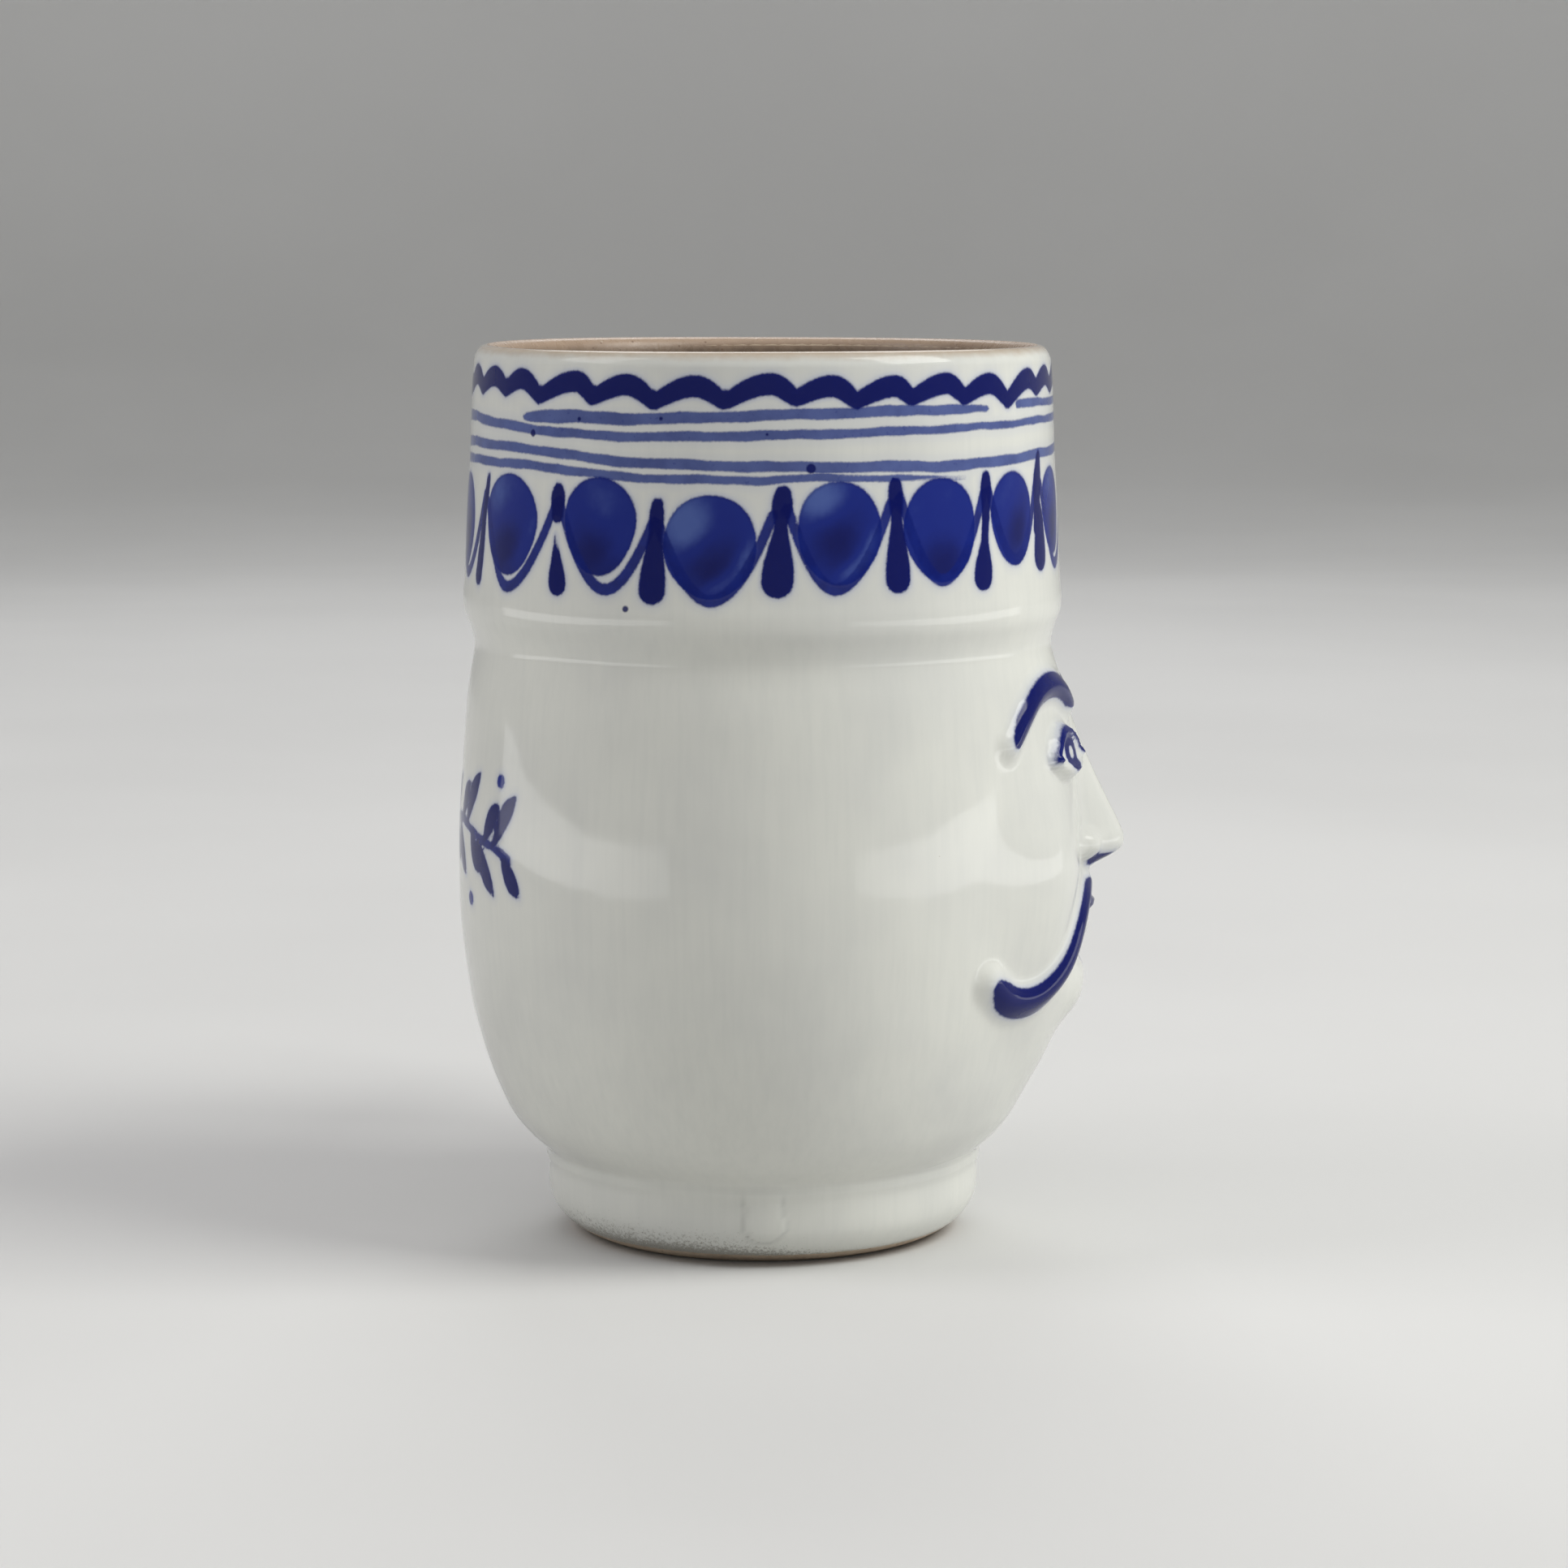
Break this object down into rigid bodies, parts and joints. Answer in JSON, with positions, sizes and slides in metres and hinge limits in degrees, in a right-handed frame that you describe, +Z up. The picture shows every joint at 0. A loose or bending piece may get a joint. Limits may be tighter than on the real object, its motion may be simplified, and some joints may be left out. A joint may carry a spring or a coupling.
{
  "type": "glazed stoneware face mug",
  "caption": "Round-bellied glazed stoneware mug on a turned foot, with a strap handle, a face in applied relief and cobalt brushwork.",
  "frame": {"origin": "the cup's axis at the standing plane, at the centre of the foot", "axes": "+Z up along the cup's axis, the face looks along -Y, the handle stands out along +X"},
  "size_m": [0.1121, 0.0901, 0.12],
  "materials": {
    "stoneware": "bare fired clay, matt and fine-grained",
    "white_glaze": "glossy off-white glaze with fine specks",
    "tan_liner": "satin tan glaze, speckled",
    "cobalt": "dark cobalt brushwork under glossy clear glaze",
    "thin_cobalt": "watery cobalt lines under glossy clear glaze"
  },
  "bodies": {
    "root": {"cup_body": "stoneware", "foot_ring": "stoneware", "handle": "white_glaze", "outer_glaze": "white_glaze", "inner_glaze": "tan_liner", "glaze_run": "white_glaze", "nose": "white_glaze", "left_brow": "white_glaze", "right_brow": "white_glaze", "left_eye": "white_glaze", "right_eye": "white_glaze", "left_eyelids": "white_glaze", "right_eyelids": "white_glaze", "left_moustache": "white_glaze", "right_moustache": "white_glaze", "upper_lip": "white_glaze", "lower_lip": "white_glaze", "chin": "white_glaze", "rim_wave": "cobalt", "upper_lines": "thin_cobalt", "lower_lines": "thin_cobalt", "petal_ovals": "cobalt", "petal_loops": "cobalt", "petal_drops": "cobalt", "brow_strokes": "cobalt", "moustache_strokes": "cobalt", "iris_rings": "cobalt", "nostril_dabs": "cobalt", "chin_dab": "cobalt", "back_sprig": "cobalt"}
  },
  "joints": []
}
